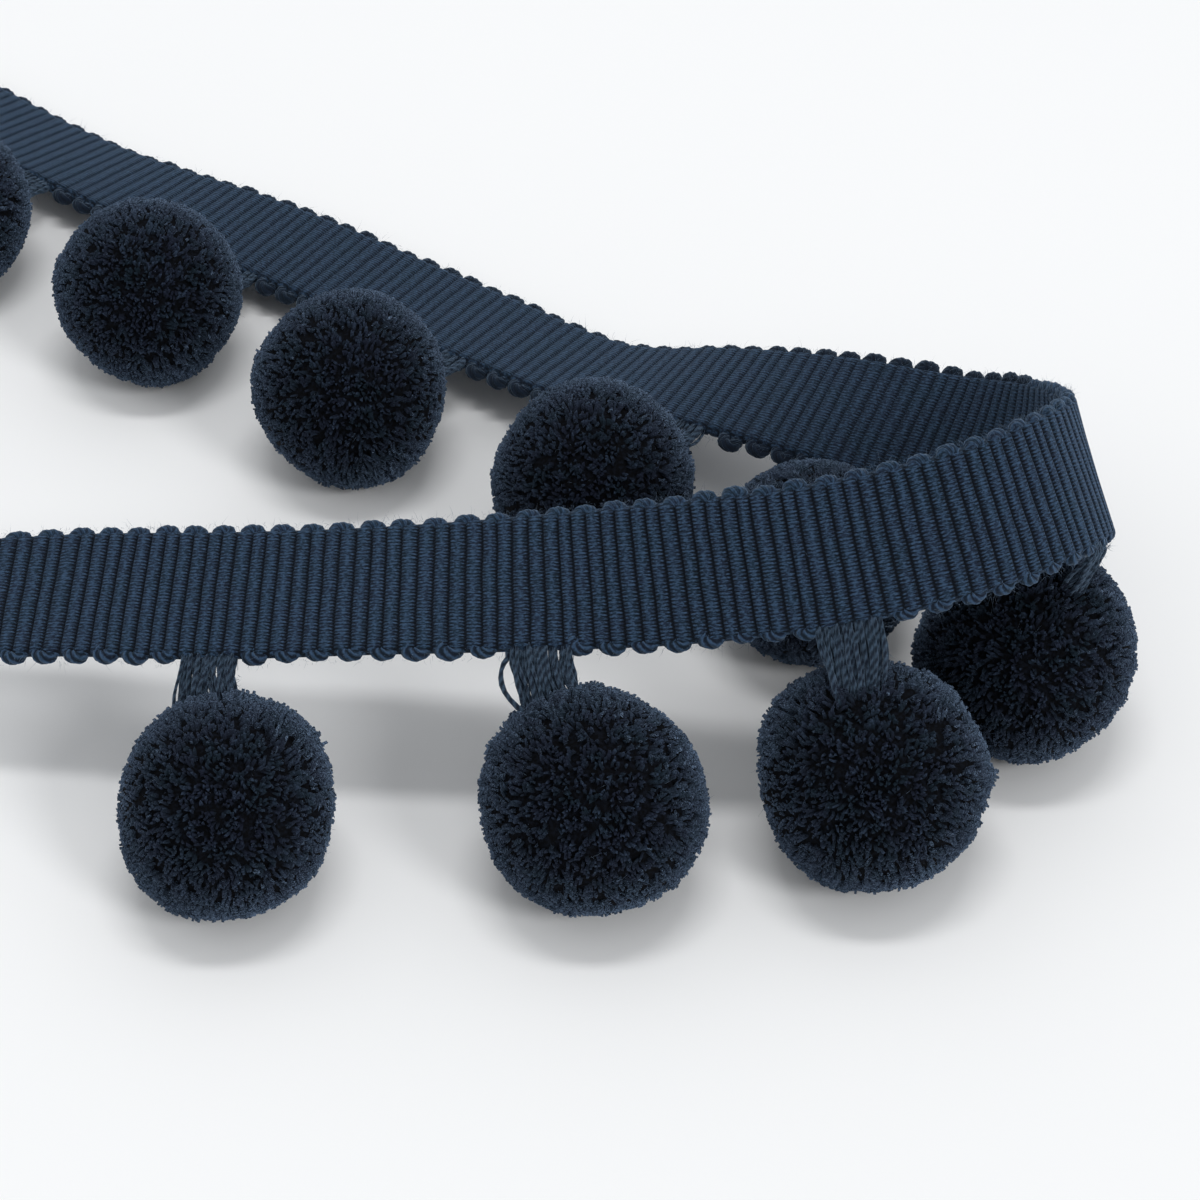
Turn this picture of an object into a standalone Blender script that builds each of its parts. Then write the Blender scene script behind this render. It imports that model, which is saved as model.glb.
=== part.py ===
"""A length of pompom fringe trim lying in a U: a ribbed woven heading and nine cut-pile pompoms."""

from math import atan2, cos, radians, sin

import bmesh
import bpy
import numpy as np
from mathutils import Matrix, Vector

for leftover in list(bpy.data.objects):
    bpy.data.objects.remove(leftover, do_unlink=True)

mm = 0.001

# The heading: a strip woven from one thick cord that runs up and down and turns in a lobe at each edge.
ribCount = 200
bandWidth = 18.0 * mm
ribHalfThickness = 0.95 * mm
grooveHalfThickness = 0.6 * mm
edgeRounding = 0.9 * mm
lobeNotch = 0.9 * mm
lobeShoulder = 0.2 * mm
lobeCrownRibs = 0.1

# The neck under each pompom's place: a root strip parted from the heading's edge, and its strands.
neckRibs = 4.6
neckClearRibs = 0.3
stripTop = 0.5 * mm
stripBottom = -0.8 * mm
stripHalfThickness = 0.7 * mm
strandCount = 7
strandInset = 0.17 * mm
strandSections = 3
seatSpread = 1.9 * mm
seatStagger = 0.7 * mm
seatStrandWidth = 0.75 * mm
strandPullShare = 1 / 3

# The ball: locks that stand apart round a core.
coreShare = 0.46
seatShare = 0.3
footInset = 0.12
shoulderWidening = 1.27
shoulderShare = 0.9
crownWidthShare = 0.62
restShare = 0.955
lockUnevenness = 0.018
lockWave = (7.3, 2.1)

# How the heading lies, from the near cut end round the turn to the far one. x, y and z are the lower edge's
# place, lean is the angle from there up across the heading, and heading is where that way points in plan.
layColumns = ("rib", "x", "y", "z", "lean", "heading")
layRows = (
    (0, -81.0, -7.5, 16.8, 12, 88),
    (10, -62.4, -8.5, 18.3, 17, 85),
    (20, -44.8, -11.0, 20.3, 20, 86),
    (30, -26.6, -12.0, 22.0, 20, 89),
    (40, -7.7, -12.7, 23.3, 27, 92),
    (50, 10.7, -13.5, 25.2, 39, 100),
    (60, 28.7, -14.2, 29.0, 43, 106),
    (70, 46.9, -10.7, 32.0, 46, 116),
    (76, 54.7, -5.0, 31.2, 47, 120),
    (82, 59.1, 2.5, 27.0, 48, 119),
    (88, 57.5, 9.8, 21.2, 50, 105),
    (94, 51.4, 17.8, 15.8, 42, 82),
    (101, 41.9, 24.8, 12.9, 30, 66),
    (111, 25.9, 32.2, 12.4, 17, 63),
    (121, 9.9, 40.7, 11.0, 2, 60),
    (131, -5.1, 49.7, 7.5, -8, 57),
    (142, -21.1, 60.7, 6.0, -6, 57),
    (162, -50.6, 80.7, 4.5, -2, 57),
    (182, -80.6, 100.2, 5.6, -13, 55),
    (200, -106.1, 119.7, 6.1, -13, 55),
)

# Each pompom: the rib where its neck leaves the heading, the ball's place and diameter, and how far
# the neck's near strands bow out.
pompomColumns = ("rib", "x", "y", "diameter", "slack")
pompomRows = (
    (20, -42.2, -25.3, 25.2, 0.0),
    (40.5, -0.8, -24.8, 26.0, 2.0),
    (60, 30.9, -21.0, 26.6, 0.5),
    (79.5, 50.2, -1.0, 26.0, 0.0),
    (101, 26.0, 15.0, 25.2, 0.0),
    (121, -0.9, 30.0, 25.2, 0.0),
    (142, -32.2, 47.6, 25.2, 0.0),
    (162, -60.2, 67.8, 24.8, 0.0),
    (182.5, -90.8, 86.4, 24.8, 0.0),
)


def column(rows, names, name):
    return np.array([row[names.index(name)] for row in rows], float)


def smoothThrough(stations, values, where):
    """A curve through the stations' values, with each station's slope taken from its neighbours."""
    slopes = np.gradient(values, stations)
    step = int(np.clip(np.searchsorted(stations, where, side="right") - 1, 0, len(stations) - 2))
    span = stations[step + 1] - stations[step]
    t = (where - stations[step]) / span
    return (
        (2 * t**3 - 3 * t**2 + 1) * values[step]
        + (t**3 - 2 * t**2 + t) * span * slopes[step]
        + (3 * t**2 - 2 * t**3) * values[step + 1]
        + (t**3 - t**2) * span * slopes[step + 1]
    )


layRibs = column(layRows, layColumns, "rib")
layCurves = {name: column(layRows, layColumns, name) for name in layColumns[1:]}


def lowerEdge(rib):
    return Vector([smoothThrough(layRibs, layCurves[axis], rib) * mm for axis in "xyz"])


def across(rib):
    lean = radians(smoothThrough(layRibs, layCurves["lean"], rib))
    heading = radians(smoothThrough(layRibs, layCurves["heading"], rib))
    return Vector((cos(lean) * cos(heading), cos(lean) * sin(heading), sin(lean)))


def onBand(rib, up, out):
    """A point of the heading: up is measured across it from the lower edge, out from its middle plane."""
    halfRib = 0.5
    middle = bandWidth / 2
    before = lowerEdge(rib - halfRib) + across(rib - halfRib) * middle
    after = lowerEdge(rib + halfRib) + across(rib + halfRib) * middle
    face = (after - before).cross(across(rib)).normalized()
    return lowerEdge(rib) + across(rib) * up + face * out


def lobeDepth(rib, firstMiddle):
    """How far the edge lies inside the full width: nothing at a lobe's middle, most in the notch beside it."""
    fromMiddle = abs((rib - firstMiddle + 1) % 2 - 1)
    if fromMiddle > 1 - lobeCrownRibs:
        return lobeNotch
    return lobeShoulder if fromMiddle > lobeCrownRibs else 0.0


def underNeck(rib):
    roots = column(pompomRows, pompomColumns, "rib")
    return any(abs(rib - root) < neckRibs / 2 + neckClearRibs for root in roots)


def addMaterial(item, name, colour, roughness):
    material = bpy.data.materials.new(name)
    material.use_nodes = True
    shader = material.node_tree.nodes["Principled BSDF"]
    shader.inputs["Base Color"].default_value = (*colour, 1)
    shader.inputs["Roughness"].default_value = roughness
    shader.inputs["Metallic"].default_value = 0
    item.data.materials.append(material)


def addObject(name, bm):
    bmesh.ops.recalc_face_normals(bm, faces=bm.faces)
    mesh = bpy.data.meshes.new(name)
    bm.to_mesh(mesh)
    bm.free()
    item = bpy.data.objects.new(name, mesh)
    bpy.context.collection.objects.link(item)
    return item


def bridgeRings(bm, rings):
    """Joins each ring of points to the next, and closes the first and the last."""
    for ring, following in zip(rings, rings[1:]):
        count = len(ring)
        for i in range(count):
            j = (i + 1) % count
            bm.faces.new((ring[i], ring[j], following[j], following[i]))
    bm.faces.new(rings[0])
    bm.faces.new(rings[-1])


def makeBand():
    bm = bmesh.new()
    rings = []
    for halfRib in range(2 * ribCount + 1):
        rib = halfRib / 2
        thickness = ribHalfThickness if halfRib % 2 else grooveHalfThickness
        low = lobeNotch if underNeck(rib) else lobeDepth(rib, 1)
        high = bandWidth - lobeDepth(rib, 0)
        outline = (
            (low, 0),
            (low + edgeRounding, thickness),
            (high - edgeRounding, thickness),
            (high, 0),
            (high - edgeRounding, -thickness),
            (low + edgeRounding, -thickness),
        )
        rings.append([bm.verts.new(onBand(rib, up, out)) for up, out in outline])
    bridgeRings(bm, rings)
    band = addObject("band", bm)
    addMaterial(band, "band_yarn", (0.03, 0.045, 0.075), 0.9)
    return band


def curvePoint(points, t):
    start, leave, arrive, end = points
    return start * (1 - t) ** 3 + leave * 3 * t * (1 - t) ** 2 + arrive * 3 * t**2 * (1 - t) + end * t**3


def makeNeck(name, rootRib, centre, core, slack):
    """The root strip under the heading's edge, with a row of strands that run down into the ball's core."""
    bm = bmesh.new()
    ribsPerStrand = neckRibs / strandCount
    stations = [rootRib + (i - strandCount / 2) * ribsPerStrand for i in range(strandCount + 1)]
    corners = (
        (stripTop, -stripHalfThickness),
        (stripTop, stripHalfThickness),
        (stripBottom, stripHalfThickness),
        (stripBottom, -stripHalfThickness),
    )
    rings = [[bm.verts.new(onBand(rib, up, out)) for up, out in corners] for rib in stations]
    bridgeRings(bm, rings)
    roots = []
    for ring, following in zip(rings, rings[1:]):
        corner = {ring[2], ring[3], following[2], following[3]}
        roots.append(next(face for face in bm.faces if set(face.verts) == corner))
    rootAcross = across(rootRib)
    side = (onBand(rootRib + 1, 0, 0) - onBand(rootRib - 1, 0, 0)).normalized()
    outward = side.cross(rootAcross).normalized()
    toRoot = (onBand(rootRib, stripBottom, 0) - centre).normalized()
    seatSide = (side - toRoot * side.dot(toRoot)).normalized()
    seatOutward = seatSide.cross(toRoot)
    for index, root in enumerate(roots):
        bmesh.ops.inset_individual(bm, faces=[root], thickness=strandInset, use_even_offset=True)
        place = 2 * index / (strandCount - 1) - 1
        stagger = seatStagger if index % 2 else -seatStagger
        start = root.calc_center_median()
        end = centre + toRoot * core * seatShare + seatSide * place * seatSpread + seatOutward * stagger
        pull = (start - end).length * strandPullShare
        bow = side * (slack * mm * min(place, 0) * 2)
        route = (start, start - rootAcross * pull + bow, end + toRoot * pull, end)
        offsets = [vertex.co - start for vertex in root.verts]
        signs = [(1 if o.dot(side) > 0 else -1, 1 if o.dot(outward) > 0 else -1) for o in offsets]
        ends = [(seatSide * a + seatOutward * b) * seatStrandWidth / 2 for a, b in signs]
        strand = root
        for section in range(1, strandSections + 1):
            t = section / strandSections
            strand = bmesh.ops.extrude_discrete_faces(bm, faces=[strand])["faces"][0]
            for vertex, offset, last in zip(strand.verts, offsets, ends):
                vertex.co = curvePoint(route, t) + offset.lerp(last, t)
    return addObject(name, bm)


def standCells(bm, toNeck):
    """Turns the ball's cells so that one points straight down and another lies towards the neck."""
    cells = [face.calc_center_median().normalized() for face in bm.faces]
    stand = cells[0].rotation_difference(Vector((0, 0, -1))).to_matrix()
    nearest = min((stand @ cell for cell in cells), key=lambda cell: abs(cell.z - toNeck.z))
    turn = atan2(toNeck.y, toNeck.x) - atan2(nearest.y, nearest.x)
    spin = Matrix.Rotation(turn, 3, "Z") @ stand
    bmesh.ops.rotate(bm, verts=bm.verts, cent=(0, 0, 0), matrix=spin)


def makeBall(name, number, radius, toNeck):
    """Locks round a core. The one towards the neck is left out, and the ball stands on the lowest."""
    core = radius * coreShare
    perLock, perBall = lockWave
    bm = bmesh.new()
    bmesh.ops.create_cube(bm, size=2)
    bmesh.ops.subdivide_edges(bm, edges=bm.edges, cuts=1, use_grid_fill=True)
    for vertex in bm.verts:
        vertex.co.normalize()
    standCells(bm, toNeck)
    feet = list(bm.faces)
    ways = [foot.calc_center_median().normalized() for foot in feet]
    opening = min(ways, key=lambda way: (way - toNeck).length)
    lowest = min(ways, key=lambda way: way.z)
    bmesh.ops.inset_individual(bm, faces=feet, thickness=footInset, use_even_offset=True)
    for vertex in bm.verts:
        vertex.co = vertex.co.normalized() * core
    for index, (foot, way) in enumerate(zip(feet, ways)):
        if way is opening:
            continue
        reach = radius * (1 + lockUnevenness * sin(perLock * index + perBall * number))
        shoulder = bmesh.ops.extrude_discrete_faces(bm, faces=[foot])["faces"][0]
        spread = [(vertex.co / core - way) * shoulderWidening for vertex in shoulder.verts]
        for vertex, offset in zip(shoulder.verts, spread):
            vertex.co = (way + offset).normalized() * reach * shoulderShare
        crown = bmesh.ops.extrude_discrete_faces(bm, faces=[shoulder])["faces"][0]
        for vertex, offset in zip(crown.verts, spread):
            vertex.co = (way + offset * crownWidthShare).normalized() * reach
            if way is lowest:
                vertex.co.z = -radius * restShare
    return addObject(name, bm)


def makePompom(number, row):
    """A ball and its neck, joined into one body."""
    rib, x, y, diameter, slack = row
    radius = diameter / 2 * mm
    centre = Vector((x * mm, y * mm, radius * restShare))
    toNeck = (onBand(rib, stripBottom, 0) - centre).normalized()
    ball = makeBall(f"pompom_{number}", number, radius, toNeck)
    ball.data.transform(Matrix.Translation(centre))
    neck = makeNeck(f"neck_{number}", rib, centre, radius * coreShare, slack)
    union = ball.modifiers.new("neck", "BOOLEAN")
    union.operation = "UNION"
    union.object = neck
    depsgraph = bpy.context.evaluated_depsgraph_get()
    joined = bpy.data.meshes.new_from_object(ball.evaluated_get(depsgraph))
    ball.modifiers.clear()
    ball.data = joined
    bpy.data.objects.remove(neck, do_unlink=True)
    addMaterial(ball, f"pile_{number}", (0.022, 0.032, 0.055), 0.95)
    return ball


def moveToOrigin(pieces):
    """Puts the origin under the middle of the whole length's bounding box."""
    corners = np.array([tuple(vertex.co) for piece in pieces for vertex in piece.data.vertices])
    low, high = corners.min(axis=0), corners.max(axis=0)
    middle = Vector(((low[0] + high[0]) / 2, (low[1] + high[1]) / 2, 0))
    for piece in pieces:
        piece.data.transform(Matrix.Translation(-middle))
        piece.data.shade_smooth()
        piece.data.set_sharp_from_angle(angle=radians(50))
    return low, high, middle


pieces = [makeBand()] + [makePompom(number, row) for number, row in enumerate(pompomRows, 1)]
low, high, middle = moveToOrigin(pieces)
print("size in mm", np.round((high - low) / mm, 1), "lowest point", round(low[2] / mm, 3))
print("laid down about", np.round(np.array(middle) / mm, 3))
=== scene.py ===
from math import cos, pi, radians, sin, tau

import bmesh
import bpy
import numpy as np
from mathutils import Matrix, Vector, noise


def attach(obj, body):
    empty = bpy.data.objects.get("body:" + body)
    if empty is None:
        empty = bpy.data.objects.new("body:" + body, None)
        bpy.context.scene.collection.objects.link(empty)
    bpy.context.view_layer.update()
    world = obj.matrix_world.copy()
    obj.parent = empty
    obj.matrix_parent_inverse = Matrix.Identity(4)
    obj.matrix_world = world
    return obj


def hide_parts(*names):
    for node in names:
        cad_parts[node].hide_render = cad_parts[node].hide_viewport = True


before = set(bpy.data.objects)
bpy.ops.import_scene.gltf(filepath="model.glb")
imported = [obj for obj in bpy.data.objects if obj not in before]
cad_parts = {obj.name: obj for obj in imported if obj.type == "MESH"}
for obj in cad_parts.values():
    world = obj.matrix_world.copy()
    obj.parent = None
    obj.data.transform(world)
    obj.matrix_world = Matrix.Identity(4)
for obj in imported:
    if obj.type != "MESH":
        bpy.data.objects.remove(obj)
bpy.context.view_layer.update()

mm = 0.001
chance = np.random.default_rng(11)

heading = {"ribs": 200, "ribPitch": 1.75 * mm, "width": 18 * mm,
           "shift": (21.196, -48.009, 0)}  # in mm, from the rows' own origin to the frame's
# how the heading lies, as its solid has it: by rib from the near cut end, the lower edge's place in mm, the
# angle up across the heading, and the way that points in plan
layRows = np.array((
    (0, -81.0, -7.5, 16.8, 12, 88),
    (10, -62.4, -8.5, 18.3, 17, 85),
    (20, -44.8, -11.0, 20.3, 20, 86),
    (30, -26.6, -12.0, 22.0, 20, 89),
    (40, -7.7, -12.7, 23.3, 27, 92),
    (50, 10.7, -13.5, 25.2, 39, 100),
    (60, 28.7, -14.2, 29.0, 43, 106),
    (70, 46.9, -10.7, 32.0, 46, 116),
    (76, 54.7, -5.0, 31.2, 47, 120),
    (82, 59.1, 2.5, 27.0, 48, 119),
    (88, 57.5, 9.8, 21.2, 50, 105),
    (94, 51.4, 17.8, 15.8, 42, 82),
    (101, 41.9, 24.8, 12.9, 30, 66),
    (111, 25.9, 32.2, 12.4, 17, 63),
    (121, 9.9, 40.7, 11.0, 2, 60),
    (131, -5.1, 49.7, 7.5, -8, 57),
    (142, -21.1, 60.7, 6.0, -6, 57),
    (162, -50.6, 80.7, 4.5, -2, 57),
    (182, -80.6, 100.2, 5.6, -13, 55),
    (200, -106.1, 119.7, 6.1, -13, 55),
))

# each pompom: the rib its neck hangs from, its place and diameter in mm, how many ribs wide the neck is and
# how many it starts beside that rib, how far in mm its strands' ends lie aside and spread on the ball, how
# far its near strands bow out, what share of a strand keeps the heading's way, how far the strands come
# over the ball's front, and how loosely they run
pompomColumns = ("rib", "x", "y", "diameter", "ribs", "shift", "aside", "spread", "bow", "pull", "over",
                 "loose")
farNeck = (3.6, 0.0, 0.0, 3.4, 0.0, 0.26, 0.0, 0.3)
pompomRows = [dict(zip(pompomColumns, row)) for row in (
    (20, -42.2, -25.3, 25.2, 3.3, 0.0, -1.2, 3.9, 0.0, 0.2, 0.0, 0.24),
    (40.5, -0.8, -24.8, 26.0, 3.7, 0.0, 0.2, 3.1, 1.9, 0.26, 1.0, 0.34),
    (60, 30.9, -21.0, 26.6, 3.9, -0.5, -0.6, 1.7, 0.0, 0.2, 2.3, 0.5),
    (79.5, 50.2, -1.0, 26.0, 1.6, -1.4, 0.0, 1.2, 0.0, 0.04, 0.0, 0.1),
    (101, 26.0, 15.0, 25.2, *farNeck),
    (121, -0.9, 30.0, 25.2, *farNeck),
    (142, -32.2, 47.6, 25.2, *farNeck),
    (162, -60.2, 67.8, 24.8, *farNeck),
    (182.5, -90.8, 86.4, 24.8, *farNeck),
)]

print("camera")
view = {"place": (0, -275.22, 285.93), "downFromLevel": 44, "lens": 98.35}
cameraData = bpy.data.cameras.new("camera")
cameraData.lens = view["lens"]
cameraData.clip_start = 0.01
camera = bpy.data.objects.new("camera", cameraData)
camera.location = (Vector(view["place"]) + Vector(heading["shift"])) * mm
camera.rotation_euler = (radians(90 - view["downFromLevel"]), 0, 0)
bpy.context.collection.objects.link(camera)
bpy.context.scene.camera = camera


def unit(ways):
    return ways / np.maximum(np.linalg.norm(ways, axis=-1, keepdims=True), 1e-12)


def throughRows(place, rib):  # a smooth curve through one column of the heading's rows
    stations, values = layRows[:, 0], layRows[:, place]
    slopes = np.gradient(values, stations)
    step = np.clip(np.searchsorted(stations, rib, side="right") - 1, 0, len(stations) - 2)
    span = stations[step + 1] - stations[step]
    t = (rib - stations[step]) / span
    return (
        (2 * t**3 - 3 * t**2 + 1) * values[step]
        + (t**3 - 2 * t**2 + t) * span * slopes[step]
        + (3 * t**2 - 2 * t**3) * values[step + 1]
        + (t**3 - t**2) * span * slopes[step + 1]
    )


def across(rib):
    lean, way = np.radians(throughRows(4, rib)), np.radians(throughRows(5, rib))
    return np.stack((np.cos(lean) * np.cos(way), np.cos(lean) * np.sin(way), np.sin(lean)), axis=-1)


def lowerEdge(rib):
    edge = np.stack([throughRows(place, rib) for place in (1, 2, 3)], axis=-1)
    return (edge + np.array(heading["shift"])) * mm


def onHeading(rib, up, out):  # up from the lower edge, out from the middle plane
    middle = heading["width"] / 2
    before = lowerEdge(rib - 0.5) + across(rib - 0.5) * middle
    after = lowerEdge(rib + 0.5) + across(rib + 0.5) * middle
    face = unit(np.cross(after - before, across(rib)))
    return lowerEdge(rib) + across(rib) * up[..., None] + face * out[..., None]


def drape(flat):  # from the flat heading, x along, y up and z out, to where it lies
    return onHeading(flat[..., 0] / heading["ribPitch"], flat[..., 1], flat[..., 2])


lobeless = {"ribs": 2.4, "leastPull": 0.1}  # how far to each side of a neck, and which necks lie in front


def underNeck(rib):  # a ball drawn right up to the heading leaves the lobes in front of its neck
    necksInFront = [row["rib"] for row in pompomRows if row["pull"] > lobeless["leastPull"]]
    return any(abs(rib - neckRib) < lobeless["ribs"] for neckRib in necksInFront)


class Value:  # a shader socket that adds Math nodes where it is used in an expression
    def __init__(self, look, socket):
        self.look, self.socket = look, socket

    def maths(self, operation, *values):
        return self.look.node("ShaderNodeMath", {"operation": operation}, dict(enumerate(values)))

    def __add__(self, other):
        return self.maths("ADD", self, other)

    def __sub__(self, other):
        return self.maths("SUBTRACT", self, other)

    def __rsub__(self, other):
        return self.maths("SUBTRACT", other, self)

    def __mul__(self, other):
        return self.maths("MULTIPLY", self, other)

    def __mod__(self, other):
        return self.maths("MODULO", self, other)

    def __pow__(self, other):
        return self.maths("POWER", self, other)

    def floor(self):
        return self.maths("FLOOR", self)

    def size(self):
        return self.maths("ABSOLUTE", self)

    def cosine(self):
        return self.maths("COSINE", self)

    def smooth(self, low, high):  # from 0 at low to 1 at high
        inputs = {"Value": self, "From Min": low, "From Max": high}
        return self.look.node("ShaderNodeMapRange", {"interpolation_type": "SMOOTHSTEP"}, inputs)

    __radd__ = __add__
    __rmul__ = __mul__


dull = 0.12  # how much yarn and paper reflect


class Look:  # a material whose nodes are added one call at a time
    def __init__(self, name, roughness, sheen=0.0, sheenColour=(1, 1, 1), sheenRoughness=0.5):
        self.material = bpy.data.materials.new(name)
        self.material.use_nodes = True
        self.tree = self.material.node_tree
        self.shader = self.tree.nodes["Principled BSDF"]
        self.set("Roughness", roughness)
        self.set("Sheen Weight", sheen)
        self.set("Sheen Tint", (*sheenColour, 1))
        self.set("Sheen Roughness", sheenRoughness)
        self.set("Specular IOR Level", dull)

    def put(self, socket, value):
        if isinstance(value, Value):
            self.tree.links.new(value.socket, socket)
        else:
            socket.default_value = value

    def set(self, name, value):
        self.put(self.shader.inputs[name], value)

    def node(self, kind, settings, inputs, output=0):
        made = self.tree.nodes.new(kind)
        for name, value in settings.items():
            setattr(made, name, value)
        for key, value in inputs.items():
            self.put(made.inputs[key], value)
        return Value(self, made.outputs[output])

    def mix(self, share, first, second):
        colours = {0: share, 6: (*first, 1) if isinstance(first, tuple) else first,
                   7: (*second, 1) if isinstance(second, tuple) else second}
        return self.node("ShaderNodeMix", {"data_type": "RGBA"}, colours, 2)

    def along(self, mapName):  # the piece's own map, and its two values
        place = self.node("ShaderNodeUVMap", {"uv_map": mapName}, {})
        parts = {"Vector": place}
        first, second = (self.node("ShaderNodeSeparateXYZ", {}, parts, output) for output in (0, 1))
        return place, first, second

    def inPlace(self):
        return self.node("ShaderNodeTexCoord", {}, {}, 3)

    def scaled(self, vector, scale):
        return self.node("ShaderNodeMapping", {}, {"Vector": vector, "Scale": scale})

    def grain(self, vector, scale, detail=2.0):
        return self.node("ShaderNodeTexNoise", {}, {"Vector": vector, "Scale": scale, "Detail": detail})

    def tint(self, scale, detail=2.0):  # patches of warmer and of greener yarn
        patches = self.grain(self.inPlace(), scale, detail)
        return self.mix(patches.smooth(0.4, 0.65), yarn["warm"], yarn["green"])

    def bump(self, height, distance, strength=1.0):
        inputs = {"Strength": strength, "Distance": distance, "Height": height}
        self.set("Normal", self.node("ShaderNodeBump", {}, inputs))


# deep serves as darker yarn and as painted shade in grooves and gaps; lit is the painted highlight
yarn = {"deep": (0.001, 0.002, 0.0046), "body": (0.0095, 0.0205, 0.041), "lit": (0.033, 0.065, 0.119),
        "warm": (0.013, 0.016, 0.037), "green": (0.006, 0.022, 0.031)}
# deep is the painted shade deep in the pile, tip the painted highlight on the tuft ends
wool = {"deep": (0.001, 0.0012, 0.002), "body": (0.0035, 0.005, 0.009), "tip": (0.0225, 0.0355, 0.061)}


# the heading's weave: the pitch in mm of the floats that cross a rib, how far they wander, how far the
# painted shade of their gaps reaches into the ribs, where a groove's painted shade ends, how far in mm below
# the upper edge the reverse begins, how much of the grooves' painted shade it loses, and how fibres catch the
# light
weave = {"floatPitch": 0.42, "wander": 0.5, "tooth": 0.6, "groove": (0.03, 0.28), "reverse": (0.8, 0.3),
         "reverseGroove": 0.5, "reverseShade": 0.2, "hairs": 0.9, "flecks": 1.4, "crest": 0.1,
         "paintedHighlight": (1.1, 1.38), "ribTone": 0.5, "tint": 0.3, "patches": 260.0, "crestClear": 0.75,
         "floatBump": 0.35, "hairBump": 0.8, "fleckBump": 0.5, "bump": 0.15 * mm}
# how fine each of its patterns is along the heading, to the rib, and up it, to the mm
weaveGrain = {"drift": (0.6, 1.2, 1), "gaps": (1.5, 2.2, 1), "hairs": (8, 11, 1), "flecks": (3.2, 4.5, 1),
              "ribTone": (0.9, 0.05, 1)}


def headingLook():
    look = Look("headingWeave", 0.85, sheen=0.25, sheenColour=(0.35, 0.55, 0.85))
    place, rib, up = look.along("weave")
    drift = look.grain(look.scaled(place, weaveGrain["drift"]), 1.0) * weave["wander"]
    crest = 1 - (rib % 1.0 * 2 - 1).size()
    turn = (rib % 2.0).floor() * 0.5
    floatWave = ((up * (1 / weave["floatPitch"]) + turn + drift) * tau).cosine() * 0.5 + 0.5
    gaps = look.grain(look.scaled(place, weaveGrain["gaps"]), 1.0).smooth(0.2, 0.45)
    between = (1 - floatWave) ** 2 * gaps
    hairs = look.grain(look.scaled(place, weaveGrain["hairs"]), 1.0, 3.0)
    flecks = look.grain(look.scaled(place, weaveGrain["flecks"]), 1.0, 2.0)
    reverse = up.smooth(*(heading["width"] / mm - below for below in weave["reverse"]))
    # the grooves are darkened with painted shade, toothed where the painted shade of the float gaps reaches
    # in
    grooveShade = 1 - (crest - between * weave["tooth"]).smooth(*weave["groove"])
    grooveShade = grooveShade * (1 - reverse * weave["reverseGroove"])
    ribTone = look.grain(look.scaled(place, weaveGrain["ribTone"]), 1.0).smooth(0.3, 0.7)
    body = look.mix(ribTone * weave["ribTone"], yarn["body"], yarn["deep"])
    body = look.mix(weave["tint"], body, look.tint(weave["patches"], 3.0))
    # painted highlights where hairs, flecks and the rib crests catch the light
    paintedHighlight = hairs * weave["hairs"] + flecks * weave["flecks"] + crest * weave["crest"]
    paintedHighlight = paintedHighlight.smooth(*weave["paintedHighlight"])
    lit = look.mix(paintedHighlight, body, yarn["lit"])
    # painted shade in the gaps between floats, less on the crests, and the reverse darkened
    shade = between * (1 - crest * weave["crestClear"]) + reverse * weave["reverseShade"]
    shaded = look.mix(shade, lit, yarn["deep"])
    look.set("Base Color", look.mix(grooveShade, shaded, yarn["deep"]))
    height = floatWave * weave["floatBump"] + hairs * weave["hairBump"] + flecks * weave["fleckBump"]
    look.bump(height, weave["bump"])
    return look.material


# a twisted yarn: its fine strands, how much more they turn, how fine its fibres and its patches of tint are,
# how much the strands and the fibres catch the light, and when they do, on a soft yarn and the more ropy
spun = {"strands": 9, "moreTurns": 1.3, "fibres": 3400.0, "patches": 420.0, "tint": 0.4, "shadow": 0.3,
        "fineLight": 0.2, "fibreLight": 0.9, "paintedHighlight": ((0.35, 0.5), (0.95, 0.6)), "fineBump": 0.25,
        "fibreBump": 0.6, "bump": 0.14 * mm}


def twistLook(name, plies, turnsPerMm, lit, ropy, shade=0.0):
    look = Look(name, 0.9, sheen=0.35, sheenColour=(0.42, 0.6, 0.85))
    around, along = look.along("twist")[1:]
    strand = ((around * plies - along * (turnsPerMm * plies)) * tau).cosine() * 0.5 + 0.5
    fineTurns = turnsPerMm * spun["strands"] + spun["moreTurns"]
    fine = ((around * spun["strands"] - along * fineTurns) * tau).cosine() * 0.5 + 0.5
    fibres = look.grain(look.inPlace(), spun["fibres"], 3.0)
    body = look.mix(spun["tint"], yarn["body"], look.tint(spun["patches"]))
    light = strand * ropy + fine * spun["fineLight"] + fibres * spun["fibreLight"]
    # painted highlights on the ply crowns and fibres that catch the light
    paintedHighlight = light.smooth(*(soft + ropy * more for soft, more in spun["paintedHighlight"]))
    # painted shade between the plies, over a body darkened by painted shadow
    base = look.mix((1 - strand) ** 2 * ropy, look.mix(spun["shadow"], body, yarn["deep"]), yarn["deep"])
    look.set("Base Color", look.mix(shade, look.mix(paintedHighlight, base, lit), yarn["deep"]))
    look.bump(strand * ropy + fine * spun["fineBump"] + fibres * spun["fibreBump"], spun["bump"])
    return look.material


# the pile: how fine its patches of tint and its fibres are, how much each yarn end's own tone counts, when it
# catches the light in a painted highlight, and where along a tuft it comes out of the painted shade of its
# depth
cutYarn = {"patches": 300.0, "tint": 0.25, "fibres": 4200.0, "tone": 0.55, "paintedHighlight": (0.72, 1.2),
           "depth": (0.1, 0.9), "bump": 0.1 * mm, "coreFibres": 2500.0}


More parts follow.
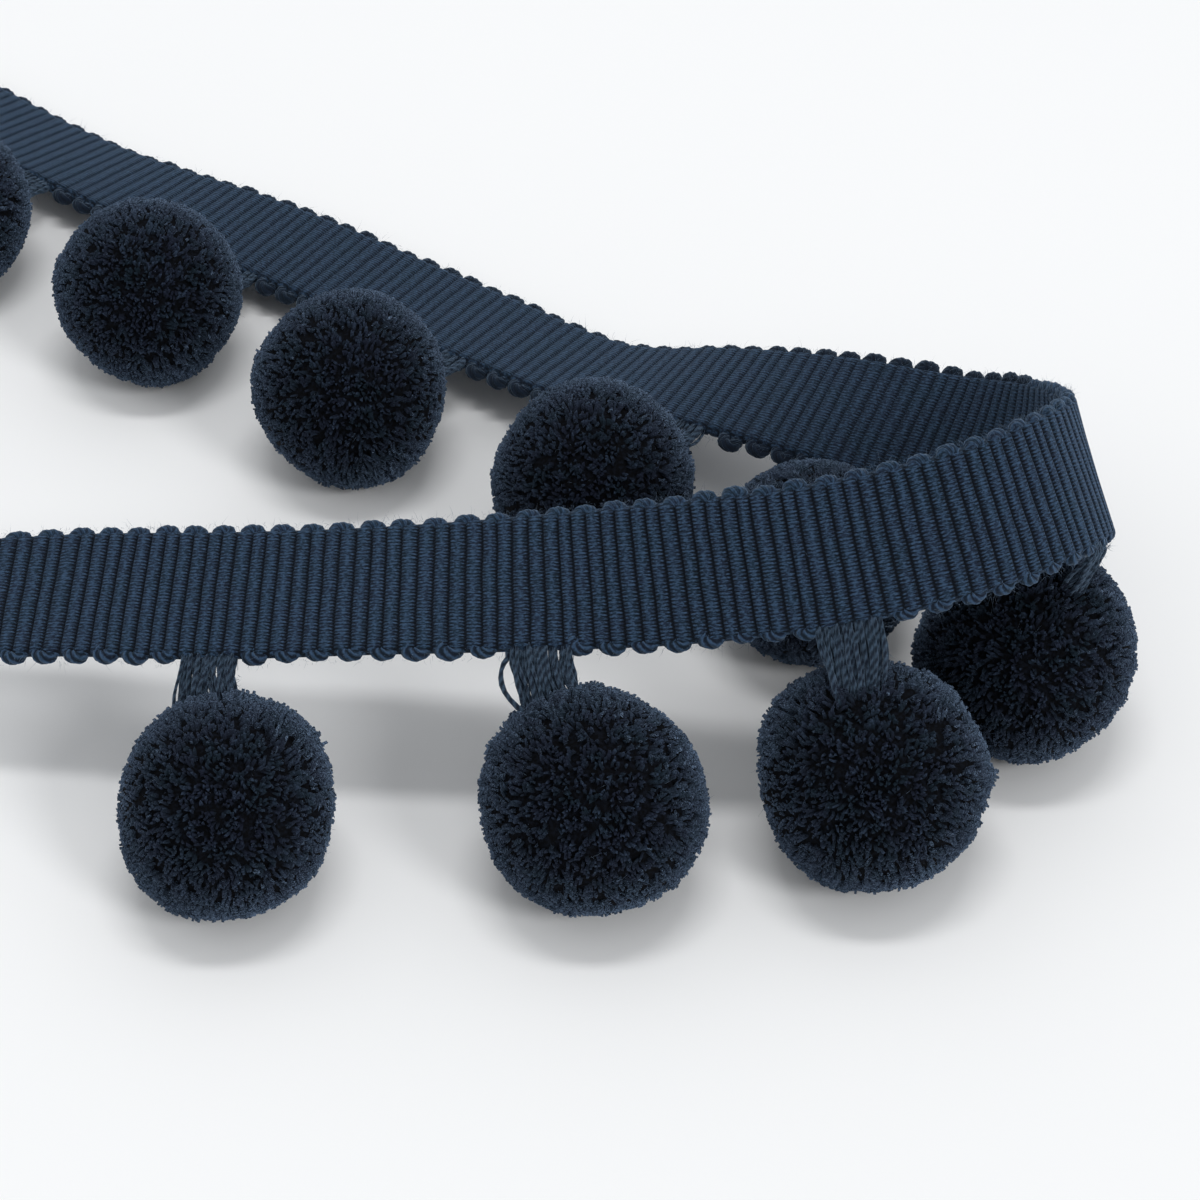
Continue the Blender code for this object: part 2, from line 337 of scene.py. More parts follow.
def pileLook():
    look = Look("cutPile", 1.0, sheen=0.5, sheenColour=(0.36, 0.52, 0.78), sheenRoughness=0.45)
    tone, along = look.along("pile")[1:]
    fibres = look.grain(look.inPlace(), cutYarn["fibres"], 3.0)
    # painted highlights on the yarn ends that catch the light
    paintedHighlight = (tone * cutYarn["tone"] + fibres).smooth(*cutYarn["paintedHighlight"])
    body = look.mix(cutYarn["tint"], wool["body"], look.tint(cutYarn["patches"]))
    tip = look.mix(paintedHighlight, body, wool["tip"])
    # tufts darken towards their roots with painted shade
    look.set("Base Color", look.mix(along.smooth(*cutYarn["depth"]), wool["deep"], tip))
    look.bump(fibres, cutYarn["bump"], 0.7)
    return look.material


def coreLook():
    look = Look("pileDepth", 1.0)
    fibres = look.grain(look.inPlace(), cutYarn["coreFibres"])
    # darker than the pile's body: painted shade of the pile's depth
    look.set("Base Color", look.mix(fibres.smooth(0.4, 0.7), wool["deep"], wool["body"]))
    return look.material


loose = {"patches": 900.0, "dark": (0.04, 0.07, 0.11), "pale": (0.12, 0.17, 0.24)}


def fluffLook():
    look = Look("looseFibre", 0.8, sheen=0.4, sheenColour=(0.6, 0.7, 0.85))
    shade = look.grain(look.inPlace(), loose["patches"])
    look.set("Base Color", look.mix(shade, loose["dark"], loose["pale"]))
    return look.material


def addPiece(name, mesh, material):
    mesh.name = name
    item = bpy.data.objects.new(name, mesh)
    bpy.context.collection.objects.link(item)
    mesh.materials.clear()
    mesh.materials.append(material)
    mesh.shade_smooth()
    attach(item, "root")
    return item


def gridShape(sides, rings):  # an open grid whose points carry their step round and their step along
    bm = bmesh.new()
    bmesh.ops.create_grid(bm, x_segments=sides, y_segments=rings, size=1)
    return bm


def copiesOf(bm, count):  # an array of one small shape, its copies in order, with the shape's own points
    shape = bpy.data.meshes.new("shape")
    bm.to_mesh(shape)
    bm.free()
    own = np.array([point.co for point in shape.vertices])
    item = bpy.data.objects.new("shape", shape)
    bpy.context.collection.objects.link(item)
    array = item.modifiers.new("copies", "ARRAY")
    array.use_relative_offset = False
    array.use_constant_offset = True
    array.constant_offset_displace = (0, 0, 0)
    array.count = count
    depsgraph = bpy.context.evaluated_depsgraph_get()
    mesh = bpy.data.meshes.new_from_object(item.evaluated_get(depsgraph))
    bpy.data.objects.remove(item, do_unlink=True)
    return mesh, own


def placePoints(mesh, points, mapName, mapped):  # puts every point in its place, with its two map values
    mesh.vertices.foreach_set("co", points.astype(np.float32).ravel())
    while mesh.uv_layers:
        mesh.uv_layers.remove(mesh.uv_layers[0])
    layer = mesh.uv_layers.new(name=mapName)
    corners = np.empty(len(mesh.loops), int)
    mesh.loops.foreach_get("vertex_index", corners)
    layer.data.foreach_set("uv", mapped.reshape(-1, 2)[corners].astype(np.float32).ravel())


together = 0.0002 * mm  # points nearer than this are one


def closed(mesh, openEnds=False):  # seams become one, ends are filled if open, and faces point outwards
    bm = bmesh.new()
    bm.from_mesh(mesh)
    bmesh.ops.remove_doubles(bm, verts=bm.verts, dist=together)
    bmesh.ops.dissolve_degenerate(bm, edges=bm.edges, dist=together)
    if openEnds:
        bmesh.ops.holes_fill(bm, edges=[edge for edge in bm.edges if edge.is_boundary], sides=0)
    bmesh.ops.recalc_face_normals(bm, faces=bm.faces)
    bm.to_mesh(mesh)
    bm.free()
    return mesh


print("heading")
weaving = {"columnsPerRib": 8, "rows": 22, "edge": 0.8 * mm, "crest": 0.95 * mm, "groove": 0.53 * mm,
           "reverseGroove": 0.68 * mm, "ribShape": 3.0, "edgeRound": 0.55 * mm, "wander": 0.05,
           "mostWander": 0.2, "fullness": 0.04, "sway": 0.09 * mm, "swayPitch": (0.4, 260),
           "edgeRows": 0.05}
mostWander = weaving["mostWander"]
ribShift = chance.normal(0, weaving["wander"], heading["ribs"] + 1).clip(-mostWander, mostWander)
ribEdges = np.arange(heading["ribs"] + 1) + ribShift
ribFullness = chance.normal(1, weaving["fullness"], heading["ribs"] + 2)


def makeHeading():
    columns, rows = heading["ribs"] * weaving["columnsPerRib"], weaving["rows"]
    mesh, own = copiesOf(gridShape(columns, 2 * rows), 1)
    along = np.round((own[:, 0] + 1) / 2 * columns) / weaving["columnsPerRib"]
    around = np.round((own[:, 1] + 1) / 2 * 2 * rows) / rows  # 0 to 1 up the front, 1 to 2 down the back
    share = 1 - abs(around - 1)
    low, high = weaving["edge"], heading["width"] - weaving["edge"]
    up = low + (high - low) * (share - weaving["edgeRows"] * np.sin(tau * share))
    inRib = along % 1
    swell = (1 - abs(2 * inRib - 1) ** weaving["ribShape"]) ** (1 / weaving["ribShape"])
    fullness = np.interp(along, np.arange(heading["ribs"] + 2), ribFullness)
    front = around < 1
    groove = np.where(front, weaving["groove"], weaving["reverseGroove"])
    thickness = groove + (weaving["crest"] - groove) * swell * fullness
    fromEdge = np.minimum(up - low, high - up).clip(0, weaving["edgeRound"]) / weaving["edgeRound"]
    thickness = thickness * np.sqrt(1 - (1 - fromEdge) ** 2)
    side = np.where(front, 1.0, -1.0)
    pitchAlong, pitchUp = weaving["swayPitch"]
    sway = np.array([noise.noise((a * pitchAlong, u * pitchUp, 0)) for a, u in zip(along, up)])
    sway = sway * weaving["sway"]
    place = np.interp(along, np.arange(heading["ribs"] + 1), ribEdges) * heading["ribPitch"] + sway
    points = drape(np.stack((place, up, thickness * side), axis=-1))
    overTop = np.where(front, up, 2 * high - up) / mm
    placePoints(mesh, points, "weave", np.stack((along, overTop), axis=-1))
    return addPiece("heading", closed(mesh, openEnds=True), headingLook())


heading["piece"] = makeHeading()
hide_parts("band")


twistStart = 5  # each yarn starts somewhere in this many mm of its twist


def sweep(paths, reference, radius, twist):
    # yarns along many paths at once: paths is (yarn, ring, 3), and radius (yarn, ring)
    count, rings = paths.shape[:2]
    sides = twist["sides"]
    mesh, own = copiesOf(gridShape(sides, rings - 1), count)
    step = np.round((own[:, 0] + 1) / 2 * sides).astype(int)
    ring = np.round((own[:, 1] + 1) / 2 * (rings - 1)).astype(int)
    tangent = unit(np.gradient(paths, axis=1))
    first = unit(np.cross(tangent, reference))
    second = np.cross(tangent, first)
    reached = np.zeros((count, rings))
    reached[:, 1:] = np.cumsum(np.linalg.norm(np.diff(paths, axis=1), axis=2), axis=1) / mm
    along = reached[:, ring] + chance.uniform(0, twistStart, (count, 1))
    angle = tau * step / sides
    turned = angle - tau * twist["turnsPerMm"] * along
    full = radius[:, ring] * (1 + twist["plyDepth"] * (np.cos(twist["plies"] * turned) - 1) / 2)
    points = (
        paths[:, ring]
        + first[:, ring] * (full * np.cos(angle))[..., None]
        + second[:, ring] * (full * np.sin(angle))[..., None]
    )
    mapped = np.stack((np.broadcast_to(step / sides, full.shape), along), axis=-1)
    placePoints(mesh, points, "twist", mapped)
    return closed(mesh)


print("edge lobes")
lobe = {"sides": 15, "rings": 17, "plies": 5, "plyDepth": 0.15, "turnsPerMm": 0.26, "radius": 0.86 * mm,
        "leg": 1.2 * mm, "behind": 0.2 * mm, "lift": 0.1 * mm, "skew": 0.03, "pinch": 0.1, "shoulder": 1.6,
        "crown": 1.3, "crossing": 0.12 * mm, "fullness": 0.05}


def makeLobes(name, middles, upwards, rise, look, proud=0.0, out=0.0):
    middles = np.array(middles, float)
    turn = np.linspace(0, 1, lobe["rings"])[None, :]
    left = np.interp(middles - 0.5, np.arange(heading["ribs"] + 1), ribEdges)[:, None]
    right = np.interp(middles + 0.5, np.arange(heading["ribs"] + 1), ribEdges)[:, None]
    lift = chance.normal(0, lobe["lift"], (len(middles), 1))
    skew = chance.normal(0, lobe["skew"], (len(middles), 1))
    arch = np.sin(pi * turn)
    reach = (right - left) / 2 * (1 - lobe["pinch"] * arch)
    x = (left + right) / 2 - reach * np.cos(pi * (turn + skew * arch))
    top = heading["width"] - lobe["radius"] - rise + proud + lift
    y = top - lobe["leg"] + lobe["leg"] * np.minimum(1, arch * lobe["shoulder"])
    y = y + rise * arch ** lobe["crown"]
    layer = out + lobe["crossing"] * np.cos(pi * turn) * np.ones_like(x)
    flat = np.stack((x * heading["ribPitch"], y if upwards else heading["width"] - y, layer), axis=-1)
    size = lobe["radius"] * chance.normal(1, lobe["fullness"], (len(middles), 1)) * np.ones_like(x)
    size[:, [0, -1]] = 0
    reference = np.array((0, 0, 1.0)) * np.ones_like(flat)
    mesh = sweep(flat, reference, size, lobe)
    points = np.empty(len(mesh.vertices) * 3, np.float32)
    mesh.vertices.foreach_get("co", points)
    mesh.vertices.foreach_set("co", drape(points.reshape(-1, 3).astype(float)).astype(np.float32).ravel())
    return addPiece(name, mesh, look)


softLook = twistLook("upperLobeYarn", lobe["plies"], lobe["turnsPerMm"], yarn["lit"], 0.3)
ropeLook = twistLook("lowerLobeYarn", lobe["plies"], lobe["turnsPerMm"], yarn["lit"], 0.65)
# the far lobes, on the reverse, are darkened with painted shade and get dimmer painted highlights
shadedLook = twistLook("reverseLobeYarn", lobe["plies"], lobe["turnsPerMm"], yarn["body"], 0.5, 0.52)
reverseFrom = 96  # from this rib on the heading shows its reverse, and the lobes lie behind it
upperRibs = range(2, heading["ribs"], 2)
lowerRibs = [rib for rib in range(1, heading["ribs"], 2) if not underNeck(rib)]
lobeRows = (  # name, ribs, upwards, rise, how far the far ones stand proud, look
    ("upperLobes", upperRibs, True, 0.2 * mm, 0.42 * mm, softLook),
    ("lowerLobes", lowerRibs, False, 0.45 * mm, 0.8 * mm, ropeLook),
)
for name, ribs, upwards, rise, proud, look in lobeRows:
    near = [rib for rib in ribs if rib < reverseFrom]
    far = [rib for rib in ribs if rib >= reverseFrom]
    makeLobes(f"{name}Near", near, upwards, rise, look)
    makeLobes(f"{name}Far", far, upwards, rise, shadedLook, proud, lobe["behind"])


print("necks")
neck = {"strands": 44, "sides": 6, "rings": 16, "plies": 2, "plyDepth": 0.3, "turnsPerMm": 0.42,
        "radius": 0.29 * mm, "inside": (2.2 * mm, 1.4 * mm), "atEdge": 0.2 * mm, "seat": 0.5,
        "seatDepth": 1.7 * mm, "layers": 0.65 * mm, "tangle": 0.35, "ripple": 0.24 * mm, "turns": (6, 13),
        "uneven": 0.03, "fullness": 0.15, "bowFrom": 0.9, "bowSlope": 10, "bowUneven": (0.6, 1.3),
        "bowAtBall": 0.6, "overAtBall": 2, "lit": (0.062, 0.103, 0.158)}
# the necks' yarn is darkened with painted shade and gets paler painted highlights
neckLook = twistLook("neckYarn", neck["plies"], neck["turnsPerMm"], neck["lit"], 0.5, 0.3)


restShare = 0.955  # a ball stands a little into its pile


def pompomAt(row):
    radius = row["diameter"] / 2 * mm
    centre = (np.array((row["x"], row["y"], 0)) + np.array(heading["shift"])) * mm
    centre[2] = radius * restShare
    return centre, radius


def rootOf(row, ribs=0.0):  # on the heading's lower edge, at the neck's middle or some ribs beside it
    return onHeading(np.array([row["rib"] + ribs]), np.array([0.0]), np.array([0.0]))[0]


def makeNeck(number, row):
    centre, radius = pompomAt(row)
    count = neck["strands"]
    place = np.linspace(-1, 1, count) + chance.normal(0, neck["uneven"], count)
    layer = chance.uniform(-1, 1, count) * neck["layers"]
    rib = row["rib"] + row["shift"] + place * row["ribs"] / 2
    start, within = (onHeading(rib, np.full(count, up), layer) for up in neck["inside"])
    edge = onHeading(rib, np.full(count, neck["atEdge"]), layer)
    root = rootOf(row)
    side = unit(rootOf(row, 1) - root)
    toRoot = unit(root - centre)
    seatSide = unit(side - toRoot * side.dot(toRoot))
    seatBack = np.cross(toRoot, seatSide)
    tangled = (place + chance.normal(0, neck["tangle"], count)).clip(-1, 1)
    end = (
        centre
        + toRoot * radius * neck["seat"]
        + seatSide * ((tangled * row["spread"] + row["aside"]) * mm)[:, None]
        + seatBack * (chance.uniform(-1, 1, count) * neck["seatDepth"] - row["over"] * mm)[:, None]
    )
    down = unit(edge - within)
    pull = np.linalg.norm(edge - end, axis=1)[:, None] * row["pull"]
    outer = np.minimum(place + neck["bowFrom"], 0) * neck["bowSlope"]  # 0 but for the outermost strands
    bow = side * (row["bow"] * mm * outer * chance.uniform(*neck["bowUneven"], count))[:, None]
    stray = chance.normal(0, row["loose"], (count, 3)) * mm
    t = np.linspace(0, 1, neck["rings"] - 2)[None, :, None]
    forward = -seatBack * row["over"] * mm * neck["overAtBall"]
    leave = edge + down * pull + bow + stray
    arrive = end + toRoot * pull + bow * neck["bowAtBall"] + forward
    curve = (
        edge[:, None] * (1 - t) ** 3
        + leave[:, None] * 3 * t * (1 - t) ** 2
        + arrive[:, None] * 3 * t**2 * (1 - t)
        + end[:, None] * t**3
    )
    for way in (side, seatBack):
        phase = chance.uniform(0, tau, (count, 1, 1))
        turns = chance.uniform(*neck["turns"], (count, 1, 1))
        curve = curve + way * (np.sin(t * turns + phase) * np.sin(pi * t)) * neck["ripple"]
    paths = np.concatenate((start[:, None], within[:, None], curve), axis=1)
    size = np.full(paths.shape[:2], neck["radius"])
    size[:, [0, -1]] = 0
    size[:, 1:-1] *= chance.normal(1, neck["fullness"], (count, 1))
    mesh = sweep(paths, np.cross(seatSide, toRoot) * np.ones_like(paths), size, neck)
    piece = addPiece(f"neck_{number}", mesh, neckLook)


for number, row in enumerate(pompomRows, 1):
    makeNeck(number, row)


print("pompoms")
pile = {"ends": 1250, "tuftsPerEnd": 6, "root": 0.915, "endSpread": 0.34 * mm, "width": 0.56 * mm,
        "widths": (0.75, 1.3), "taper": 0.62, "endPlace": 0.018, "endLift": 0.006, "tuftLift": 0.007,
        "lump": 0.006, "lumpPitch": 1.7, "bumps": 0.01, "bumpPitch": 7, "lean": 0.02, "stray": 0.02,
        "endTone": 0.4, "core": 0.945, "coreSteps": 4, "tuftSides": 3, "floorGap": 0.02 * mm,
        "roundness": 0.7, "nextBall": 3.1}  # each ball's lumps are taken this much further on
# where the neck enters, the pile stands in a low collar round a dip: their angles from the neck, and sizes
collar = {"lift": 0.035, "at": 0.36, "width": 0.14, "dip": 1.5, "dipWidth": 0.2}
# each ball's outline as it faces the camera: how far it stands out of its circle, in hundredths of the
# radius, every 15 degrees round from the right, and how fast that fades away from the outline
outlineSteps = {"degrees": 15, "unit": 0.01, "fade": 3}
outlines = {
    1: (-3, -2, 1, 6, 6, 1, 0, 1, 1, 0, -2, -4, -4, -3, 2, 4, 5, 4, 0, -1, -1, 0, -1, -4),
    2: (1, -1, 0, -2, -3, -1, 1, 2, 1, 1, 3, 1, -1, -2, 0, 1, 0, 0, -2, -2, -1, 2, 2, 3),
    3: (5, 0, -2, 1, 1, -3, -3, -2, 1, 6, 6, 1, -4, -5, -3, 0, 2, 2, -1, -1, 0, 0, 2, 0),
    4: (1, 2, 2, 3, 2, 0, 0, 0, 0, 0, 0, -1, 3, 2, 1, 0, 0, 0, 1, -1, -2, -2, -1, -1),
    6: (1, 0, -1, 0, 1, 2, 2, 1, 0, -1, -3, -1, 1, 1, 0, 0, 0, 0, 0, 0, 0, 0, 0, 0),
    7: (-2, -1, 0, 1, 1, 3, 2, 1, 0, -1, -1, 1, 1, -1, -3, -3, -2, 1, 2, 3, 3, 0, -3, -3),
    8: (0, 0, 0, -1, 0, 0, 0, 0, 0, 0, -1, 3, 1, 0, -2, -3, -3, -1, 2, 3, 2, -1, -2, 0),
}
# yarn ends that stand out alone: where they are round the outline, and by how much
strayEnds = {1: ((80, 0.07), (37, 0.05)), 2: ((112, 0.04),), 3: ((4, 0.04),)}
offOutline = 200  # in finding such an end, how many degrees round weigh as much as facing the camera
pileSurface, coreSurface = pileLook(), coreLook()


def evenWays(count):  # directions spread evenly over a sphere
    step = np.arange(count) + 0.5
    height = 1 - 2 * step / count
    turn = step * pi * (3 - 5**0.5)
    level = np.sqrt(1 - height**2)
    return np.stack((level * np.cos(turn), level * np.sin(turn), height), axis=-1)


def facing(ways):  # how far round a ball's outline each direction is, and how near to that outline
    down = radians(view["downFromLevel"])
    above = ways @ np.array((0, sin(down), cos(down)))
    return np.degrees(np.arctan2(above, ways[:, 0])) % 360, np.hypot(above, ways[:, 0])


def endReaches(number, ends, toNeck):  # how far each yarn end reaches, as a share of the radius
    shift = Vector((number * pile["nextBall"], 0, 0))
    lumps = np.array([noise.noise(Vector(way) * pile["lumpPitch"] + shift) for way in ends])
    bumps = np.array([noise.noise(Vector(way) * pile["bumpPitch"] + shift) for way in ends])
    reach = 1 + pile["lump"] * lumps + pile["bumps"] * bumps + chance.normal(0, pile["endLift"], len(ends))
    fromNeck = np.arccos((ends @ toNeck).clip(-1, 1))
    ring = np.exp(-(((fromNeck - collar["at"]) / collar["width"]) ** 2))
    dip = np.exp(-((fromNeck / collar["dipWidth"]) ** 2))
    reach += collar["lift"] * (ring - collar["dip"] * dip)
    turn, sideways = facing(ends)
    around = outlines.get(number, (0,))
    spread = np.interp(turn, np.arange(len(around) + 1) * outlineSteps["degrees"], (*around, around[0]))
    reach += spread * outlineSteps["unit"] * sideways ** outlineSteps["fade"]
    for place, amount in strayEnds.get(number, ()):
        nearest = np.argmin(abs((turn - place + 180) % 360 - 180) + offOutline * (1 - sideways))
        reach[nearest] += amount
    return reach


def oneTuft():  # blunt, from an open foot to a flat end
    bm = bmesh.new()
    bmesh.ops.create_circle(bm, segments=pile["tuftSides"], radius=1)
    top = bmesh.ops.extrude_edge_only(bm, edges=bm.edges)["geom"]
    corners = [item for item in top if isinstance(item, bmesh.types.BMVert)]
    bmesh.ops.translate(bm, verts=corners, vec=(0, 0, 1))
    bmesh.ops.contextual_create(bm, geom=[item for item in top if not isinstance(item, bmesh.types.BMFace)])
    bmesh.ops.recalc_face_normals(bm, faces=bm.faces)
    return bm


def shadeAsBall(mesh, centre):  # the tufts' shading follows the ball as much as the tuft
    count = len(mesh.vertices)
    own, points = np.empty(count * 3, np.float32), np.empty(count * 3, np.float32)
    mesh.vertices.foreach_get("normal", own)
    mesh.vertices.foreach_get("co", points)
    outwards = unit(points.reshape(-1, 3) - centre)
    normals = unit(own.reshape(-1, 3) * (1 - pile["roundness"]) + outwards * pile["roundness"])
    mesh.normals_split_custom_set_from_vertices(normals.tolist())


def makePompom(number, row):
    centre, radius = pompomAt(row)
    toNeck = unit(rootOf(row) - centre)
    ends = unit(evenWays(pile["ends"]) + chance.normal(0, pile["endPlace"], (pile["ends"], 3)))
    endReach = endReaches(number, ends, toNeck)
    endTone = chance.uniform(0, 1, pile["ends"])
    endLean = chance.normal(0, pile["lean"], (pile["ends"], 3))

    each = pile["tuftsPerEnd"]
    way = np.repeat(ends, each, axis=0)
    count = len(way)
    offset = chance.normal(0, pile["endSpread"] / radius, (count, 3))
    offset -= way * np.sum(offset * way, axis=1, keepdims=True)
    tuftWay = unit(way + offset)
    tipWay = unit(tuftWay + np.repeat(endLean, each, axis=0) + chance.normal(0, pile["stray"], (count, 3)))
    reach = np.repeat(endReach, each) + chance.normal(0, pile["tuftLift"], count)
    tone = np.repeat(endTone, each) * pile["endTone"] + chance.uniform(0, 1, count) * (1 - pile["endTone"])

    mesh, own = copiesOf(oneTuft(), count)
    aside = unit(np.cross(way, np.roll(way, 1, axis=1) + 0.01))
    second = np.cross(way, aside)
    spin = chance.uniform(0, tau, count)
    width = pile["width"] * chance.uniform(*pile["widths"], count) / 2
    base = tuftWay * radius * pile["root"]
    points = base[:, None] + (tipWay * (radius * reach)[:, None] - base)[:, None] * own[None, :, 2:3]
    narrowing = 1 - (1 - pile["taper"]) * own[None, :, 2]
    cosine, sine = np.cos(spin)[:, None], np.sin(spin)[:, None]
    flatX = (own[None, :, 0] * cosine - own[None, :, 1] * sine) * width[:, None] * narrowing
    flatY = (own[None, :, 0] * sine + own[None, :, 1] * cosine) * width[:, None] * narrowing
    points = points + aside[:, None] * flatX[..., None] + second[:, None] * flatY[..., None]
    points = points + centre
    points[..., 2] = np.maximum(points[..., 2], pile["floorGap"])
    tones = np.repeat(tone[:, None], len(own), axis=1)
    mapped = np.stack((tones, np.repeat(own[None, :, 2], count, axis=0)), axis=-1)
    placePoints(mesh, points, "pile", mapped)
    piece = addPiece(f"pompomPile_{number}", mesh, pileSurface)
    shadeAsBall(mesh, centre)
    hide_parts(f"pompom_{number}")
    return piece


def makeCore(number, row):  # the depth of the pile, in painted shade, which closes the gaps between the tufts
    centre, radius = pompomAt(row)
    bm = bmesh.new()
    bmesh.ops.create_icosphere(bm, subdivisions=pile["coreSteps"], radius=radius * pile["core"])
    bmesh.ops.translate(bm, verts=bm.verts, vec=centre)
    mesh = bpy.data.meshes.new("core")
    bm.to_mesh(mesh)
    bm.free()
    piece = addPiece(f"pompomCore_{number}", mesh, coreSurface)


pompoms = [makePompom(number, row) for number, row in enumerate(pompomRows, 1)]
for number, row in enumerate(pompomRows, 1):
    makeCore(number, row)

print("loose fibres")
fluff = {"sides": 3, "rings": 3, "plies": 1, "plyDepth": 0, "turnsPerMm": 0, "radius": 0.016 * mm,
         "uneven": (0.6, 1.2), "taper": 0.4, "bend": 0.55, "shortest": 0.4, "lowest": 0.03 * mm}
# on each ball: how many, how far down its sides, where they are rooted in the pile, how slanted, the longest
ballFluff = {"count": 260, "lowest": -0.6, "root": 0.97, "slant": 0.5, "longest": 0.9 * mm}
# round each neck: how many, within how many ribs of its middle and how far from the heading's middle plane
# they start, where in the ball the last are rooted, the longest, and how much thicker they are
neckFluff = {"count": 280, "ribs": 2.1, "layers": 0.4 * mm, "seat": 0.9, "longest": 1.0 * mm, "thicker": 2.1}
# on the heading: how far from its ends in ribs and from its middle plane in mm, how much they point outwards,
# and the shortest share of the longest
headingFluff = {"fromEnds": 0.5, "layers": (0.2, 0.8), "outwards": 0.5, "shortest": 0.25}
# and in bands: how many, from and to how far up it in mm, how much they point up it, how unevenly, and the
# longest in mm
fluffBands = (
    (4200, 17.0, 17.8, 0.8, 0.6, 0.95),
    (1800, 0.2, 0.8, -0.8, 0.5, 1.1),
    (1200, 1, 17, 0, 0.6, 0.6),
)


def fibrePaths(roots, ways, lengths):  # from each root out along its way, and bent aside by chance
    bend = chance.normal(0, fluff["bend"], ways.shape)
    steps = np.linspace(0, 1, fluff["rings"])[None, :, None]
    return roots[:, None] + lengths[:, None, None] * (ways[:, None] * steps + bend[:, None] * steps**2)


def fibresOnHeading(count, low, high, ups, spread, longest):
    rib = chance.uniform(headingFluff["fromEnds"], heading["ribs"] - headingFluff["fromEnds"], count)
    up = chance.uniform(low, high, count) * mm
    front = chance.choice((-1.0, 1.0), count)
    out = front * chance.uniform(*headingFluff["layers"], count) * mm
    roots = onHeading(rib, up, out)
    outwards = unit(onHeading(rib, up, out + front * mm) - roots)
    stray = chance.normal(0, spread, (count, 3))
    ways = unit(across(rib) * ups + outwards * headingFluff["outwards"] + stray)
    return fibrePaths(roots, ways, chance.uniform(headingFluff["shortest"], 1, count) ** 2 * longest * mm)


def makeFibres():
    groups = [fibresOnHeading(*band) for band in fluffBands]
    fullness = [np.ones(len(group)) for group in groups]
    for row in pompomRows:
        centre, radius = pompomAt(row)
        ways = unit(chance.normal(0, 1, (ballFluff["count"], 3)))
        ways = ways[ways[:, 2] > ballFluff["lowest"]]
        slanted = unit(ways + chance.normal(0, ballFluff["slant"], ways.shape))
        lengths = chance.uniform(fluff["shortest"], 1, len(ways)) ** 2 * ballFluff["longest"]
        groups.append(fibrePaths(centre + ways * radius * ballFluff["root"], slanted, lengths))
        fullness.append(np.ones(len(ways)))
        count = neckFluff["count"]
        rib = row["rib"] + chance.uniform(-1, 1, count) * neckFluff["ribs"]
        edge = onHeading(rib, np.zeros(count), chance.uniform(-1, 1, count) * neckFluff["layers"])
        seat = centre + unit(edge - centre) * radius * neckFluff["seat"]
        roots = edge + (seat - edge) * chance.uniform(0, 1, (count, 1))
        ways = unit(chance.normal(0, 1, (count, 3)))
        lengths = chance.uniform(fluff["shortest"], 1, count) * neckFluff["longest"]
        groups.append(fibrePaths(roots, ways, lengths))
        fullness.append(np.full(count, neckFluff["thicker"]))
    paths = np.concatenate(groups)
    paths[..., 2] = np.maximum(paths[..., 2], fluff["lowest"])
    uneven = chance.uniform(*fluff["uneven"], len(paths))
    size = fluff["radius"] * (np.concatenate(fullness) * uneven)[:, None]
    size = size * np.linspace(1, fluff["taper"], fluff["rings"])[None, :]
    size[:, -1] = 0
    mesh = sweep(paths, np.array((0.3, 0.5, 0.81)) * np.ones_like(paths), size, fluff)
    piece = addPiece("looseFibres", mesh, fluffLook())
    return piece


looseFibres = makeFibres()

print("cut ends")
cut = {"sides": 5, "rings": 6, "plies": 1, "plyDepth": 0, "turnsPerMm": 0, "radius": 0.13 * mm,
       "threads": 44, "inset": 1.2, "layer": 0.28 * mm, "insideRibs": 0.6, "spread": 0.22,
       "longest": 1.8 * mm, "shortest": 0.4, "bend": 0.2, "droop": (0, 0, 0.15)}


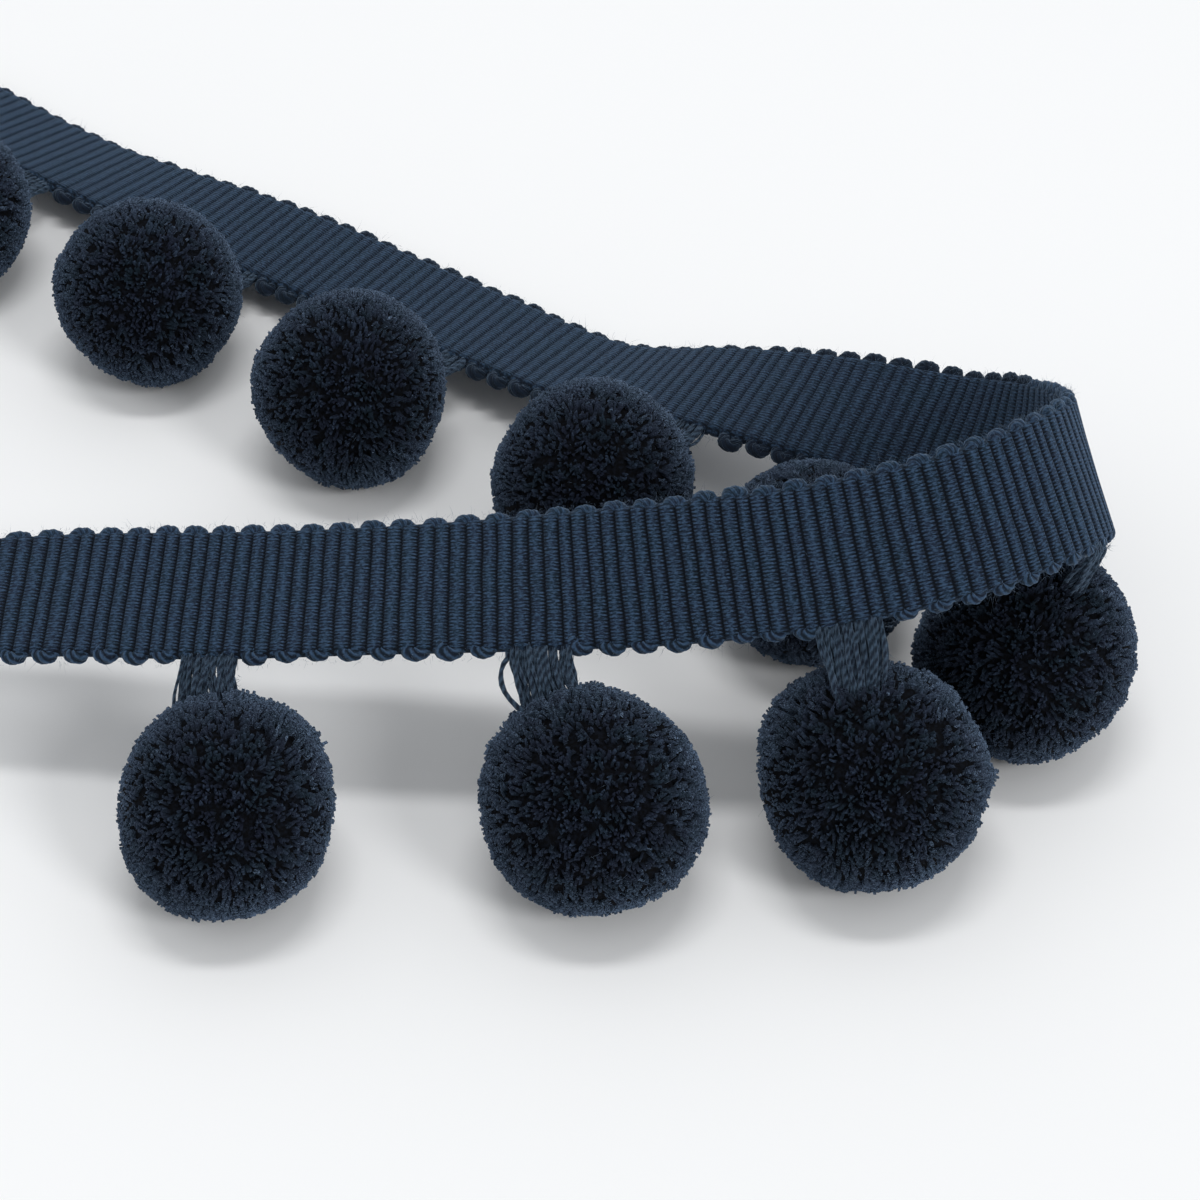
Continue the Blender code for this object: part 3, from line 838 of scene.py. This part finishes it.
def makeCutEnd(name, rib, outwards):  # the warp threads that stand out where the heading was cut off
    count = cut["threads"]
    up = np.linspace(cut["inset"], heading["width"] / mm - cut["inset"], count) * mm
    layer = (np.arange(count) % 2 * 2 - 1) * cut["layer"]
    start = onHeading(np.full(count, rib - outwards * cut["insideRibs"]), up, layer)
    edge = onHeading(np.full(count, rib), up, layer)
    ways = unit(edge - start) + chance.normal(0, cut["spread"], (count, 3))
    lengths = chance.uniform(cut["shortest"], 1, count)[:, None, None] * cut["longest"]
    steps = np.linspace(0, 1, cut["rings"] - 1)[None, :, None]
    bend = chance.normal(0, cut["bend"], (count, 1, 3)) - np.array(cut["droop"])
    beyond = edge[:, None] + lengths * (ways[:, None] * steps + bend * steps**2)
    paths = np.concatenate((start[:, None], beyond), axis=1)
    size = np.full(paths.shape[:2], cut["radius"])
    size[:, [0, -1]] = 0
    mesh = sweep(paths, np.array((0, 0, 1.0)) * np.ones_like(paths), size, cut)
    piece = addPiece(name, mesh, neckLook)
    return piece


cutEnds = [makeCutEnd("cutEndNear", 0.0, -1), makeCutEnd("cutEndFar", float(heading["ribs"]), 1)]

print("floor and light")
studio = {"floor": (0.9, 0.905, 0.91), "floorReach": 3, "skyColour": (0.97, 0.985, 1.0), "sky": 0.66}
# a long lamp overhead, and a soft one far off to the right
overheadLamp = {"place": (0, 15, 900), "size": (420, 110), "power": 2.1}
sideLamp = {"way": (0.56, -0.56, 0.62), "strength": 0.9, "spread": 16}
bm = bmesh.new()
bmesh.ops.create_grid(bm, x_segments=1, y_segments=1, size=studio["floorReach"])
floorMesh = bpy.data.meshes.new("floor")
bm.to_mesh(floorMesh)
bm.free()
floorLook = Look("paleFloor", 0.7)
floorLook.set("Base Color", (*studio["floor"], 1))
floorMesh.materials.append(floorLook.material)
floor = bpy.data.objects.new("floor", floorMesh)
bpy.context.collection.objects.link(floor)

world = bpy.data.worlds.new("studio")
world.use_nodes = True
world.node_tree.nodes["Background"].inputs["Color"].default_value = (*studio["skyColour"], 1)
world.node_tree.nodes["Background"].inputs["Strength"].default_value = studio["sky"]
bpy.context.scene.world = world
bpy.context.scene.view_settings.view_transform = "Standard"

lamp = bpy.data.lights.new("overhead", "AREA")
lamp.shape = "RECTANGLE"
lamp.size, lamp.size_y = (length * mm for length in overheadLamp["size"])
lamp.energy = overheadLamp["power"]
item = bpy.data.objects.new("overhead", lamp)
item.location = (Vector(overheadLamp["place"]) + Vector(heading["shift"])) * mm
bpy.context.collection.objects.link(item)

lamp = bpy.data.lights.new("side", "SUN")
lamp.energy = sideLamp["strength"]
lamp.angle = radians(sideLamp["spread"])
item = bpy.data.objects.new("side", lamp)
item.rotation_euler = Vector(sideLamp["way"]).to_track_quat("Z", "Y").to_euler()
bpy.context.collection.objects.link(item)
